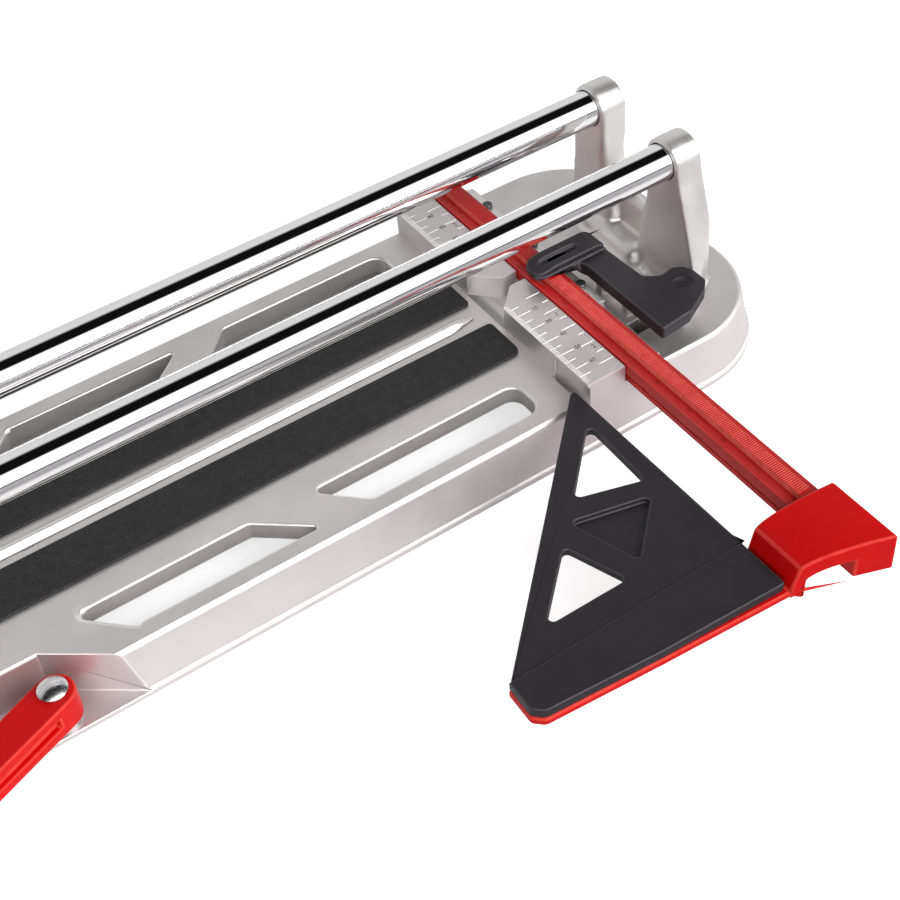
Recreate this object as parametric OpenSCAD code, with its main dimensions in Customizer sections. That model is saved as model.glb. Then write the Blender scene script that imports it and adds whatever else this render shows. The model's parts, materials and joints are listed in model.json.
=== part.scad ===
// Manual tile cutter: cast base, twin guide rods, sliding carriage with a hinged
// scoring handle, sliding scale bar with a set square, and two folding side arms.
// X runs along the cut, the stop is at +X. Y runs across. Z = 0 is the bench top.

/* [Base] */
// Length of the base casting along its top face
base_l = 806; // [786:4:846]
// Width of the base casting across its top face
base_w = 141; // [136:1:150]
// Height of the base top face above the bench
plate_z = 28; // [26:0.5:32]
// Plan radius of the base corners
corner_r = 42; // [34:1:50]
// Width of one rubber tile pad
pad_w = 23; // [16:1:26]
// Height of the tile pads above the base top face
pad_rise = 1.5; // [1:0.1:2]

/* [Rods] */
// Diameter of the guide rods
rod_d = 16; // [14:0.5:18]
// Distance between the axes of the two guide rods
rod_pitch = 50; // [46:1:56]
// Height of the rod axes above the bench
rod_z = 88; // [84:1:96]

/* [Ruler] */
// Height of the cast ruler block above the base top face
ruler_rise = 11.5; // [9:0.5:14]
// Half width of the funnel notch on the centreline
notch_w = 14; // [10:1:18]

/* [Scale bar] */
// Length of the sliding scale bar
bar_l = 250; // [200:10:300]
// Width of the sliding scale bar
bar_w = 14; // [12:0.5:16]
// Leg length of the set square
square_leg = 103; // [80:1:110]

/* [Carriage] */
// Place of the parked carriage along the rods
carriage_x = -205; // [-260:5:0]
// Length of the carriage along the rods
carriage_l = 76; // [60:2:90]
// Outer diameter of the scoring wheel
wheel_d = 22; // [14:1:26]
// Length of the rubber handle grip
grip_l = 128; // [100:2:140]

/* [Side arms] */
// Length of a folding side arm from its pivot to its end
arm_l = 122; // [100:2:124]
// Angle that the side arms stand out from the base at rest
arm_open = 22; // [0:1:60]

/* [Hidden] */
$fn = 48;

gap = 0.35;
slide = 0.05;
foot_z = 4;
shell = 5;
flare = 5;
rim_z = 7.5;
pocket_z = 6.2;
pad_top = plate_z + pad_rise;
ruler_top = plate_z + ruler_rise;
ruler_x = 297;
ruler_t = 19;
bar_x = ruler_x + ruler_t + gap;
bar_z = ruler_top - 5;
bar_top = ruler_top + 1;
rib_top = ruler_top + 4;
bar_in = 74;
bed_z = bar_z - gap;
keeper_x = bar_x + bar_w + gap;
keeper_t = 5;
rod_y = rod_pitch / 2;
post_x = 372;
post_t = 14;
post_half = rod_d / 2 + 2.4;
post_top = rod_z + post_half;
rod_end = post_x + post_t - 3;
pivot_x = carriage_x + 8;
pivot_z = rod_z + 15;
pin_d = 8;
axle_d = 5;
wheel_x = pivot_x - 46;
wheel_z = 55;
breaker_x = pivot_x - 78;
breaker_z = 68;
grip_ang = 27;
tube_d = 14;
tube_x = pivot_x - 58;
tube_z = pivot_z + 18;
tube_l = 168;
arm_x = 62;
arm_y = base_w / 2 - 3.5;
arm_w = 16;
arm_z = pocket_z + 2.8;
arm_h = 14;
rivet_d = 7;
lever_x = 346;
lever_z = plate_z + 13;
lever_pin_d = 3;
lug_y = [-38, -20];
square_x = ruler_x - 1.5;
square_y = -63.5;
square_z = plate_z + 0.4;
square_t = 4.4;
strip_y = square_y - square_leg;
cap_in_y = [-168, -172.5];
cap_out_y = [-192, -205.5];
cap_x0 = ruler_x;
cap_x1 = bar_x + bar_w + 3.2;
cap_screw_y = -189;

// Corner points of a closed outline turned into short arcs of the given radii.
function unit(v) = v / norm(v);
function arc_corner(a, b, c, r, n = 6) =
    let (u = unit(a - b), w = unit(c - b))
    let (half = acos(max(-1, min(1, u * w))) / 2)
    let (m = b + unit(u + w) * r / sin(half))
    let (p = b + u * r / tan(half), q = b + w * r / tan(half))
    let (a0 = atan2(p[1] - m[1], p[0] - m[0]), a1 = atan2(q[1] - m[1], q[0] - m[0]))
    let (turn = ((a1 - a0 + 540) % 360) - 180)
    [for (i = [0:n]) m + r * [cos(a0 + turn * i / n), sin(a0 + turn * i / n)]];
function rounded(points, radii) =
    [for (i = [0:len(points) - 1])
        let (k = len(points), a = points[(i + k - 1) % k], c = points[(i + 1) % k])
        each (radii[i] > 0 ? arc_corner(a, points[i], c, radii[i]) : [points[i]])];

// A solid extruded along Y from y0 to y1, its outline given in X and Z.
module along_y(y0, y1) {
    translate([0, max(y0, y1), 0]) rotate([90, 0, 0]) linear_extrude(abs(y1 - y0)) children();
}

// A solid extruded along X from x0 to x1, its outline given in Y and Z.
module along_x(x0, x1) {
    translate([min(x0, x1), 0, 0]) rotate([90, 0, 90]) linear_extrude(abs(x1 - x0)) children();
}

module rod_x(x0, x1, d) {
    translate([x0, 0, 0]) rotate([0, 90, 0]) cylinder(d = d, h = x1 - x0);
}

module rod_y_axis(y0, y1, d) {
    translate([0, y1, 0]) rotate([90, 0, 0]) cylinder(d = d, h = y1 - y0);
}

// Edge section of a slab: points hold [distance beyond the outline, height].
function section(points, r) = concat([[0, points[0][1]]], [for (p = points) [r + p[0], p[1]]],
    [[0, points[len(points) - 1][1]]]);

// A slab with round plan corners whose edge follows the given section.
module slab(l, w, r, points) {
    cx = l / 2 - r;
    cy = w / 2 - r;
    z0 = points[0][1];
    z1 = points[len(points) - 1][1];
    translate([-cx, -cy, z0]) cube([2 * cx, 2 * cy, z1 - z0]);
    for (k = [0, 1]) mirror([k, 0, 0]) {
        translate([cx, cy, 0]) rotate([90, 0, 0]) linear_extrude(2 * cy) polygon(section(points, r));
        translate([cx, cy, 0]) rotate_extrude(angle = 90, $fn = 96) polygon(section(points, r));
        translate([cx, -cy, 0]) rotate([0, 0, 270]) rotate_extrude(angle = 90, $fn = 96)
            polygon(section(points, r));
    }
    for (k = [0, 1]) mirror([0, k, 0]) translate([-cx, cy, 0]) rotate([90, 0, 90])
        linear_extrude(2 * cx) polygon(section(points, r));
}

// Plan outlines of the long openings, grown outward by g.
slot_y0 = 44;
slot_y1 = 62;
function slot_a(g) = let (d = g * 0.414)
    [[81 - g - d, slot_y0 - g], [99 - g + d, slot_y1 + g], [177 + g + d, slot_y1 + g],
     [155 + g - d, slot_y0 - g]];
function slot_b(g) = let (d = g * 0.414)
    [[182.5 - g - d, slot_y0 - g], [200.5 - g + d, slot_y1 + g], [281 + g, slot_y1 + g],
     [281 + g, slot_y0 - g]];

module slots(g) {
    for (sx = [0, 1], sy = [0, 1]) mirror([sx, 0, 0]) mirror([0, sy, 0]) {
        polygon(rounded(slot_a(g), [2 + g, 4 + g, 1 + g, 4 + g]));
        polygon(rounded(slot_b(g), [2 + g, 4 + g, 6 + g, 6 + g]));
    }
}

// Plan outline of one side pocket for a folding arm, its inner wall moved by g.
module pocket_plan(g) {
    in_y = base_w / 2 - 18.5 - g;
    out_y = base_w / 2 + 9.5;
    polygon([[-63 - g, in_y], [63 + g, in_y], [100 + g, out_y], [-100 - g, out_y]]);
}

notch = [[ruler_x - 5, -notch_w - 5], [ruler_x + 11, -3], [ruler_x + ruler_t + 1, -3],
    [ruler_x + ruler_t + 1, 3], [ruler_x + 11, 3], [ruler_x - 5, notch_w + 5]];
foot_places = [for (x = [-345, 0, 345], y = [-40, 40]) [x, y]];
bolt_x = post_x + 5;
bolt_y = 30;
bolt_places = [for (sx = [-1, 1], sy = [-1, 1]) [sx * bolt_x, sy * bolt_y]];

module base_casting() {
    outer = [[flare, foot_z], [flare, rim_z - 1], [flare - 1, rim_z], [0.6, plate_z - 2.2],
        [0, plate_z - 1], [-1.2, plate_z]];
    inner = [[1, foot_z - 1], [-3.4, plate_z - shell]];
    color("gainsboro") difference() {
        union() {
            difference() {
                slab(base_l, base_w, corner_r, outer);
                slab(base_l, base_w, corner_r, inner);
            }
            intersection() {
                slab(base_l, base_w, corner_r, outer);
                for (k = [0, 1]) mirror([0, k, 0]) translate([0, 0, foot_z + 0.5])
                    linear_extrude(plate_z) pocket_plan(4);
            }
            translate([0, 0, plate_z - 8.5]) linear_extrude(7.5) slots(3);
            for (p = foot_places) translate([p[0], p[1], foot_z]) cylinder(d = 26, h = 20);
            for (p = bolt_places) translate([p[0], p[1], foot_z + 5]) cylinder(d = 16, h = 16);
            translate([ruler_x, -base_w / 2 - 2, rim_z])
                cube([ruler_t, base_w + 2, ruler_top - rim_z]);
            translate([bar_x - 1, -base_w / 2, rim_z + 6])
                cube([keeper_x + keeper_t - bar_x + 1, base_w, bed_z - rim_z - 6]);
            for (y = lug_y) translate([lever_x - 3, y - 2, plate_z - 1])
                cube([6, 4, lever_z - plate_z + 2.9]);
        }
        for (k = [0, 1]) mirror([0, k, 0]) translate([0, 0, pocket_z])
            linear_extrude(plate_z) pocket_plan(0);
        translate([0, 0, -1]) linear_extrude(plate_z + 5) slots(0);
        translate([0, 0, plate_z + 0.4]) linear_extrude(20) polygon(notch);
        // Relief under the ruler's near end, behind the tip of the set square
        translate([ruler_x - 1.5, -base_w / 2 - 3, plate_z - 3.5])
            cube([2.7, base_w / 2 - 47, ruler_top - 2 - plate_z + 3.5]);
        // T slot that guides the foot of the scale bar
        translate([bar_x + 1, -base_w / 2 - 2, bar_z - 6.4]) cube([bar_w - 2, base_w + 4, 3.7]);
        translate([bar_x + 3, -base_w / 2 - 2, bar_z - 4]) cube([bar_w - 6, base_w + 4, 6]);
        // Clear-out opening beside the lock lever
        translate([lever_x - 6, -51, foot_z - 1]) cube([6.5, 7.5, plate_z + 20]);
        for (k = [0, 1]) translate([arm_x, (2 * k - 1) * arm_y, -1]) cylinder(d = rivet_d, h = plate_z);
        for (p = foot_places) translate([p[0], p[1], -1]) cylinder(d = 22, h = foot_z + 3);
        for (p = foot_places) translate([p[0], p[1], 0]) cylinder(d = 4, h = 20);
        for (p = bolt_places) translate([p[0], p[1], -1]) cylinder(d = 11, h = 16);
        for (p = bolt_places) translate([p[0], p[1], 0]) cylinder(d = 6, h = 40);
        for (y = lug_y) translate([lever_x, 0, lever_z]) rod_y_axis(y - 3, y + 3, lever_pin_d);
        for (x = [-240, -80, 80, 240]) translate([x, 0, 0]) cylinder(d = 4, h = 40);
        for (y = [-20, 15, 50]) translate([keeper_x + keeper_t / 2, y, bed_z - 8])
            cylinder(d = 2.5, h = 20);
    }
}

ridge_end = ruler_x - 7;
module breaker_ridge() {
    color("whitesmoke") difference() {
        intersection() {
            along_x(-ridge_end, ridge_end) polygon([[-4.5, plate_z], [-4.5, plate_z + 0.6],
                [-1, plate_z + 2.8], [1, plate_z + 2.8], [4.5, plate_z + 0.6], [4.5, plate_z]]);
            along_y(-6, 6) polygon([[-ridge_end, plate_z - 1], [-ridge_end, plate_z + 0.4],
                [-ridge_end + 14, plate_z + 4], [ridge_end - 14, plate_z + 4],
                [ridge_end, plate_z + 0.4], [ridge_end, plate_z - 1]]);
            linear_extrude(plate_z + 10) polygon([[-ridge_end, 0.8], [-ridge_end + 16, 5],
                [ridge_end - 16, 5], [ridge_end, 0.8], [ridge_end, -0.8], [ridge_end - 16, -5],
                [-ridge_end + 16, -5], [-ridge_end, -0.8]]);
        }
        for (x = [-240, -80, 80, 240]) translate([x, 0, 0]) cylinder(d = 2.5, h = plate_z + 1.6);
    }
}

pad_edge = 30.8;
module tile_pad(side) {
    y0 = side * (pad_edge - pad_w);
    y1 = side * pad_edge;
    x1 = ruler_x - 3;
    outline = side > 0 ? [[-x1, y0], [x1, y0], [x1, y1], [-x1, y1]]
        : [[-x1, y1], [x1, y1], [x1, y0], [-x1, y0]];
    color("#26262a") translate([0, 0, plate_z]) linear_extrude(pad_rise)
        polygon(rounded(outline, side > 0 ? [2, 2, 4, 4] : [4, 4, 2, 2]));
}

module pad_near() tile_pad(-1);
module pad_far() tile_pad(1);

// Front outlines of a saddle's posts. The near post has a wide outer foot.
function post_arc(side) = [for (a = [0:15:180])
    [side * rod_y - side * post_half * cos(a), rod_z + post_half * sin(a)]];
function post_inner(side) = [[side * 9, plate_z], [side * 9, plate_z + 15],
    [side * 11.5, plate_z + 26], [side * (rod_y - post_half), rod_z - 20]];
near_post = concat(post_inner(-1), post_arc(-1), [[-36.6, rod_z - 6], [-41, plate_z + 40],
    [-46.5, plate_z + 20], [-50, plate_z]]);
far_post = concat(post_inner(1), post_arc(1), [[rod_y + post_half, rod_z - 24],
    [37, plate_z + 14], [39.5, plate_z]]);
web_t = 8;
ledge_h = 5.5;

module saddle(sign) {
    xf = post_x;
    xb = post_x + post_t;
    color("gainsboro") mirror([sign > 0 ? 0 : 1, 0, 0]) difference() {
        union() {
            intersection() {
                along_x(xf - 6, xb) union() {
                    polygon(near_post);
                    polygon(far_post);
                }
                along_y(-60, 60) polygon([[xf - 3.5, plate_z], [xf - 2.5, plate_z + 2],
                    [xf, plate_z + 5], [xf, post_top + 1],
                    [xb - 1, post_top + 1], [xb, plate_z]]);
                linear_extrude(post_top + 2) polygon([[xf - 6, -51], [xf, -51], [xb, -42],
                    [xb, 42], [xf, 51], [xf - 6, 51]]);
            }
            along_x(xb - web_t, xb - 0.6) polygon(concat([[-15, plate_z], [-15, plate_z + 32]],
                [for (a = [180:-15:0]) [13 * cos(a), plate_z + 32 - 12 * sin(a)]],
                [[15, plate_z + 32], [15, plate_z]]));
            translate([xf - 6, -13, plate_z]) cube([post_t, 36, ledge_h]);
        }
        for (sy = [-1, 1]) translate([0, sy * rod_y, rod_z]) {
            rod_x(xf - 1, rod_end, rod_d);
            rod_x(xf, xb + 1, 5);
        }
        for (sy = [-1, 1]) translate([bolt_x, sy * bolt_y, plate_z - 1]) cylinder(d = 5, h = 15);
    }
}

module stop_saddle() saddle(1);
module park_saddle() saddle(-1);

module guide_rod(side) {
    color("silver") translate([0, side * rod_y, rod_z]) difference() {
        rod_x(-rod_end, rod_end, rod_d);
        rod_x(-rod_end - 1, -rod_end + 16, 4.2);
        rod_x(rod_end - 16, rod_end + 1, 4.2);
    }
}

module guide_rod_near() guide_rod(-1);
module guide_rod_far() guide_rod(1);

// Socket head screws along X into the rod ends.
module rod_end_screws() {
    color("dimgray") for (sx = [0, 1], sy = [-1, 1]) mirror([sx, 0, 0])
        translate([0, sy * rod_y, rod_z]) difference() {
            union() {
                rod_x(rod_end - 12, post_x + post_t, 4.2);
                rod_x(post_x + post_t, post_x + post_t + 1.8, 8);
            }
            rod_x(post_x + post_t + 0.5, post_x + post_t + 5, 3);
        }
}

module saddle_bolts() {
    color("dimgray") for (p = bolt_places) translate([p[0], p[1], 0]) {
        translate([0, 0, foot_z + 6]) cylinder(d = 10, h = 5);
        translate([0, 0, foot_z + 6]) cylinder(d = 5, h = plate_z + 4);
    }
}

module rubber_feet() {
    color("#222222") difference() {
        union() {
            for (p = foot_places) translate([p[0], p[1], 0]) cylinder(d = 22, h = foot_z + 2);
            // Strip that joins the two middle feet
            translate([-9, -40, 0]) cube([18, 80, foot_z - 0.2]);
        }
        for (p = foot_places) translate([p[0], p[1], 0]) {
            translate([0, 0, -1]) cylinder(d = 9, h = 4);
            cylinder(d = 4, h = 10);
        }
    }
}

module feet_screws() {
    color("dimgray") for (p = foot_places) translate([p[0], p[1], 0]) {
        translate([0, 0, 1]) cylinder(d = 7.5, h = 2);
        translate([0, 0, 2]) cylinder(d = 4, h = 14);
    }
}

// Cover rail beside the scale bar, with three screws.
module bar_keeper() {
    color("gainsboro") difference() {
        translate([keeper_x, -34, bed_z]) cube([keeper_t, 100, bar_z + 3 - bed_z]);
        for (y = [-20, 15, 50]) translate([keeper_x + keeper_t / 2, y, bed_z - 1])
            cylinder(d = 2.5, h = 10);
    }
}

module keeper_screws() {
    color("dimgray") for (y = [-20, 15, 50]) translate([keeper_x + keeper_t / 2, y, 0]) {
        translate([0, 0, bed_z - 6]) cylinder(d = 2.5, h = bar_z + 9 - bed_z);
        translate([0, 0, bar_z + 3]) cylinder(d = 4.6, h = 1.6);
    }
}

module lever_pin() {
    color("silver") translate([lever_x, 0, lever_z]) rod_y_axis(-53, -6, lever_pin_d);
}

spring_at = [363, -53];
module lever_spring() {
    pitch = 1.8;
    color("silver") translate([spring_at[0], spring_at[1], plate_z]) union() {
        for (k = [0:5]) translate([0, 0, 0.2 + pitch * k]) difference() {
            cylinder(d = 7, h = 0.9);
            translate([0, 0, -1]) cylinder(d = 5, h = 3);
        }
        translate([-3.5, -0.5, 0]) cube([1, 1, 5 * pitch + 0.6]);
    }
}

module arm_rivets() {
    color("silver") for (k = [-1, 1]) translate([arm_x, k * arm_y, 0]) {
        translate([0, 0, foot_z + 1]) cylinder(d = rivet_d, h = arm_z + arm_h + 2 - foot_z);
        translate([0, 0, arm_z + arm_h + 0.4]) intersection() {
            translate([0, 0, -5]) sphere(d = 17);
            cylinder(d = 11.4, h = 5);
        }
    }
}

module arm_washers() {
    color("silver") for (k = [-1, 1]) translate([arm_x, k * arm_y, pocket_z]) difference() {
        cylinder(d = 14, h = 2.5);
        translate([0, 0, -1]) cylinder(d = rivet_d, h = 5);
    }
}

// Carriage: two bored sleeves joined by a bridge above the rods.
bush_d = rod_d + 5;
block_r = bush_d / 2 + 4;
block_x0 = carriage_x - carriage_l / 2;
block_x1 = carriage_x + carriage_l / 2;
cheek_y = 12;
clip_room_y = 27;
clip_room_d = 16;
module carriage_block() {
    color("#3a3d42") difference() {
        union() {
            for (sy = [-1, 1]) translate([0, sy * rod_y, rod_z])
                rod_x(block_x0, block_x1, 2 * block_r, $fn = 64);
            for (sy = [0, 1]) mirror([0, sy, 0]) {
                translate([block_x0, cheek_y, rod_z]) cube([carriage_l, 23, block_r + 3]);
                along_y(cheek_y, cheek_y + 7) translate([pivot_x, pivot_z]) circle(d = 26);
            }
            translate([block_x1 - 14, -cheek_y - 1, rod_z + 2]) cube([14, 2 * cheek_y + 2, 14]);
        }
        for (sy = [-1, 1]) translate([0, sy * rod_y, rod_z]) {
            rod_x(block_x0 - 1, block_x1 + 1, rod_d + 2);
            rod_x(block_x0 - 1, block_x0 + 22, bush_d);
            rod_x(block_x1 - 22, block_x1 + 1, bush_d);
        }
        translate([pivot_x, 0, pivot_z]) rod_y_axis(-24, 24, pin_d);
        for (k = [0, 1]) mirror([0, k, 0]) translate([pivot_x, 0, pivot_z])
            rod_y_axis(cheek_y + 7, clip_room_y, clip_room_d);
        for (x = cover_screw_x, y = [-28, 28]) translate([x, y, rod_z + 8])
            cylinder(d = 3, h = 20);
    }
}

module slide_bushes() {
    color("darkgoldenrod") for (sy = [-1, 1], x = [block_x0 + 3, block_x1 - 22])
        translate([0, sy * rod_y, rod_z]) difference() {
            rod_x(x, x + 19, bush_d);
            rod_x(x - 1, x + 20, rod_d + 2 * slide);
        }
}

module rod_wipers() {
    color("#2b2b2b") for (sy = [-1, 1], x = [block_x0, block_x1 - 3])
        translate([0, sy * rod_y, rod_z]) difference() {
            rod_x(x, x + 3, bush_d);
            rod_x(x - 1, x + 4, rod_d + 0.7);
        }
}

cover_screw_x = [block_x0 + 9, block_x1 - 9];
cover_z = rod_z + block_r + 3;
module carriage_cover() {
    color("crimson") difference() {
        for (sy = [0, 1]) mirror([0, sy, 0]) translate([0, 0, cover_z]) linear_extrude(4)
            polygon(rounded([[block_x0, cheek_y + 8], [block_x1, cheek_y + 8],
                [block_x1, cheek_y + 23], [block_x0, cheek_y + 23]], [2, 2, 6, 6]));
        translate([pivot_x, 0, pivot_z]) rod_y_axis(-clip_room_y, clip_room_y, clip_room_d);
        for (x = cover_screw_x, y = [-28, 28]) translate([x, y, cover_z - 1]) {
            cylinder(d = 3, h = 10);
            translate([0, 0, 3.4]) cylinder(d = 6, h = 5);
        }
    }
}

module cover_screws() {
    color("dimgray") for (x = cover_screw_x, y = [-28, 28]) translate([x, y, 0]) difference() {
        union() {
            translate([0, 0, rod_z + 11.5]) cylinder(d = 3, h = cover_z - rod_z - 7.5);
            translate([0, 0, cover_z + 2.4]) cylinder(d = 6, h = 2);
        }
        translate([0, 0, cover_z + 3.4]) cylinder(d = 2.5, h = 3, $fn = 6);
    }
}

module handle_pin() {
    color("silver") translate([pivot_x, 0, pivot_z]) difference() {
        rod_y_axis(-24, 24, pin_d);
        for (y = [-22.5, 21.3]) difference() {
            rod_y_axis(y, y + 1.2, pin_d + 1);
            rod_y_axis(y - 1, y + 3, pin_d - 2);
        }
    }
}

module pin_clips() {
    color("dimgray") for (y = [-22.4, 21.4]) translate([pivot_x, 0, pivot_z]) difference() {
        rod_y_axis(y, y + 1, 13);
        rod_y_axis(y - 1, y + 2, pin_d - 2);
    }
}

// Handle: a flat lever between the rods, with the wheel and breaker below it.
lever_half = 6;
seat_z = wheel_z + 18;
stud_d = 6;
socket_d = 20;
module handle_lever() {
    boss_y = cheek_y - gap;
    color("#c8ccd0") difference() {
        union() {
            along_y(-lever_half, lever_half) union() {
                translate([pivot_x, pivot_z]) circle(d = 24);
                polygon([[pivot_x + 4, pivot_z + 11], [tube_x, tube_z + 8], [tube_x - 12, tube_z + 4],
                    [breaker_x - 9, breaker_z], [breaker_x + 9, breaker_z],
                    [wheel_x - 9, seat_z], [wheel_x + 9, seat_z], [pivot_x + 8, pivot_z - 9]]);
                translate([breaker_x, breaker_z]) circle(d = 18);
            }
            translate([pivot_x, 0, pivot_z]) rod_y_axis(-boss_y, boss_y, 16);
            on_tube() translate([0, 0, -12]) cylinder(d = socket_d, h = 32);
        }
        translate([pivot_x, 0, pivot_z]) rod_y_axis(-30, 30, pin_d + 2 * slide);
        translate([breaker_x, 0, breaker_z]) rod_y_axis(-30, 30, 6);
        translate([breaker_x + 10, 0, breaker_z + 28]) rod_y_axis(-30, 30, 17);
        translate([wheel_x, 0, seat_z - 1]) cylinder(d = stud_d, h = 21);
        translate([wheel_x, 0, seat_z + 10]) rod_y_axis(-30, -stud_d / 2, 5);
        on_tube() translate([0, 0, -10]) cylinder(d = tube_d, h = 60);
        on_tube() rod_y_axis(-30, -tube_d / 2, 4);
        on_tube() rod_y_axis(-30, -socket_d / 2 + 0.6, 7);
    }
}

// Places its children along the handle tube, with +Z pointing to the grip end.
module on_tube() {
    translate([tube_x, 0, tube_z]) rotate([0, -90 + grip_ang, 0]) children();
}

module handle_tube() {
    color("silver") on_tube() translate([0, 0, -10]) difference() {
        cylinder(d = tube_d, h = tube_l);
        translate([0, 0, 12]) cylinder(d = tube_d - 4, h = tube_l);
    }
}

grip_at = tube_l - 10 - grip_l;
module handle_grip() {
    ribs = 9;
    color("#202022") on_tube() translate([0, 0, grip_at]) difference() {
        rotate_extrude($fn = 64) polygon(concat([[tube_d / 2, 0], [12.5, 0], [14.5, 2], [14.5, 6]],
            [for (i = [0:ribs - 1], s = [0:5]) let (u = (i + s / 6) / ribs)
                [12.6 + 1.1 * cos(s * 60) + 1.2 * sin(u * 180), 9 + u * (grip_l - 18)]],
            [[13.8, grip_l - 8], [13.2, grip_l], [tube_d / 2, grip_l]]));
        translate([0, 0, -1]) cylinder(d = tube_d, h = grip_l + 2);
    }
}

module grip_end_cap() {
    color("crimson") on_tube() translate([0, 0, tube_l - 10]) rotate_extrude($fn = 64)
        polygon([[0, -8], [5, -8], [5, 0], [13.2, 0], [13.2, 3], [11.5, 6], [8, 7.5], [0, 8]]);
}

module tube_screws() {
    color("dimgray") on_tube() difference() {
        union() {
            rod_y_axis(-socket_d / 2, -tube_d / 2, 4);
            rod_y_axis(-socket_d / 2 - 2.5, -socket_d / 2 + 0.6, 7);
        }
        rod_y_axis(-socket_d / 2 - 3, -socket_d / 2 - 1, 3, $fn = 6);
    }
}

module wheel_holder() {
    color("dimgray") difference() {
        union() {
            translate([wheel_x - 7, -4.2, wheel_z + 4]) cube([14, 8.4, seat_z - wheel_z - 4]);
            for (k = [0, 1]) mirror([0, k, 0]) along_y(1.3, 4.2) union() {
                translate([wheel_x, wheel_z]) circle(d = 12);
                translate([wheel_x - 6, wheel_z]) square([12, 12]);
            }
            translate([wheel_x, 0, seat_z - 1]) cylinder(d = stud_d, h = 20);
        }
        translate([wheel_x - wheel_d / 2 - 2, -1.3, wheel_z - 20])
            cube([wheel_d + 4, 2.6, 20 + wheel_d / 2 + 1.2]);
        translate([wheel_x, 0, wheel_z]) rod_y_axis(-6, 6, axle_d);
    }
}

module holder_screw() {
    color("dimgray") translate([wheel_x, 0, seat_z + 10]) {
        rod_y_axis(-lever_half, -stud_d / 2, 5);
        rod_y_axis(-lever_half - 3.4, -lever_half, 9);
    }
}

module wheel_axle() {
    color("silver") translate([wheel_x, 0, wheel_z]) {
        rod_y_axis(-4.8, 4.8, axle_d);
        rod_y_axis(-5.8, -4.2, 8);
        rod_y_axis(4.2, 5.2, 7);
    }
}

module scoring_wheel() {
    color("lightgray") translate([wheel_x, 0, wheel_z]) rotate([90, 0, 0]) difference() {
        rotate_extrude($fn = 96) polygon([[0, -0.95], [wheel_d / 2 - 2, -0.95], [wheel_d / 2, 0],
            [wheel_d / 2 - 2, 0.95], [0, 0.95]]);
        translate([0, 0, -2]) cylinder(d = axle_d + 2 * slide, h = 4);
    }
}

module breaker_pin() {
    color("silver") translate([breaker_x, 0, breaker_z]) {
        rod_y_axis(-12.4, 12.4, 6);
        rod_y_axis(-14, -12.4, 9);
        rod_y_axis(12.4, 14, 9);
    }
}

// Breaker foot: a wide shoe whose two wings press on both halves of the tile.
foot_under = breaker_z - 14;
module breaker_foot() {
    color("#303236") difference() {
        union() {
            along_x(breaker_x - 12, breaker_x + 12) polygon([[-40, foot_under - 0.7],
                [-40, foot_under + 3], [-15, foot_under + 7], [15, foot_under + 7],
                [40, foot_under + 3], [40, foot_under - 0.7], [12, foot_under + 2],
                [-12, foot_under + 2]]);
            for (k = [0, 1]) mirror([0, k, 0]) along_y(lever_half + 1, lever_half + 6) union() {
                translate([breaker_x, breaker_z]) circle(d = 14);
                translate([breaker_x - 7, foot_under + 4]) square([14, breaker_z - foot_under - 4]);
            }
        }
        translate([breaker_x, 0, breaker_z]) rod_y_axis(-30, 30, 6 + 2 * slide);
        translate([breaker_x - 13, -lever_half - 1, foot_under + 4.4])
            cube([26, 2 * lever_half + 2, 30]);
    }
}

module breaker_pads() {
    color("#1d1d1f") for (k = [0, 1]) mirror([0, k, 0]) along_x(breaker_x - 11, breaker_x + 11)
        polygon([for (p = [[15, 0], [38, 0], [38, -2.4], [15, -2.4]])
            [p[0], foot_under + 2 - (p[0] - 12) * 2.7 / 28 + p[1]]]);
}

// Scale bar: flat flanges each side of a raised rib, with a T foot below.
module scale_bar() {
    y1 = bar_in;
    y0 = bar_in - bar_l;
    color("crimson") difference() {
        union() {
            translate([bar_x, y0, bar_z]) cube([bar_w, bar_l, bar_top - bar_z]);
            translate([bar_x + 3.6, y0, bar_z - 4]) cube([bar_w - 7.2, bar_l, 5]);
            translate([bar_x + 1.6, y0, bar_z - 5.9]) cube([bar_w - 3.2, bar_l, 2.4]);
        }
        translate([bar_x + 4.6, y0 - 1, bar_top - 2]) cube([bar_w - 8.6, bar_l + 2, 5]);
    }
}

// Toothed strip let into the bar, which the lock lever's finger drops into.
rack_pitch = 2;
module bar_rack() {
    y0 = bar_in - bar_l;
    x0 = bar_x + 4.6;
    w = bar_w - 8.6;
    n = floor((bar_l - 12) / rack_pitch);
    color("tomato") union() {
        translate([x0, y0, bar_top - 2]) cube([w, bar_l, rib_top - bar_top + 1.3]);
        along_x(x0, x0 + w) polygon(concat([[y0, rib_top - 1]],
            [for (i = [0:n - 1], s = [0, 1]) [y0 + 6 + (i + 0.5 * s) * rack_pitch,
                s == 0 ? rib_top - 0.7 : rib_top]],
            [[y0 + bar_l, rib_top - 0.7], [y0 + bar_l, rib_top - 1]]));
    }
}

// End cap: arched finger pull over the bar's end, with a wall down to a flat
// under-plate that carries the set square.
strip_z = square_z - 3.9;
block_x = cap_x1 - 14.3;
square_screw_at = [for (u = [0.15, 0.52, 0.88]) [square_x - u * square_leg, strip_y - 12.5 + 4 * u]];

module under_plate() {
    r = square_x - square_leg;
    translate([0, 0, strip_z]) linear_extrude(3.6) polygon(rounded([[r - 1.8, strip_y + 0.5],
        [r - 2.3, strip_y - 13.4], [r + 1.6, strip_y - 17.2], [square_x - 54, strip_y - 21.3],
        [cap_x0, cap_out_y[0] + 0.3], [cap_x0 + 4, cap_out_y[0] - 1.6], [cap_x0 + 4, cap_in_y[0]],
        [cap_x0, cap_in_y[0]], [cap_x0, strip_y + 0.5]], [1, 3, 4, 60, 0, 0, 0, 0, 0]));
}

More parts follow.
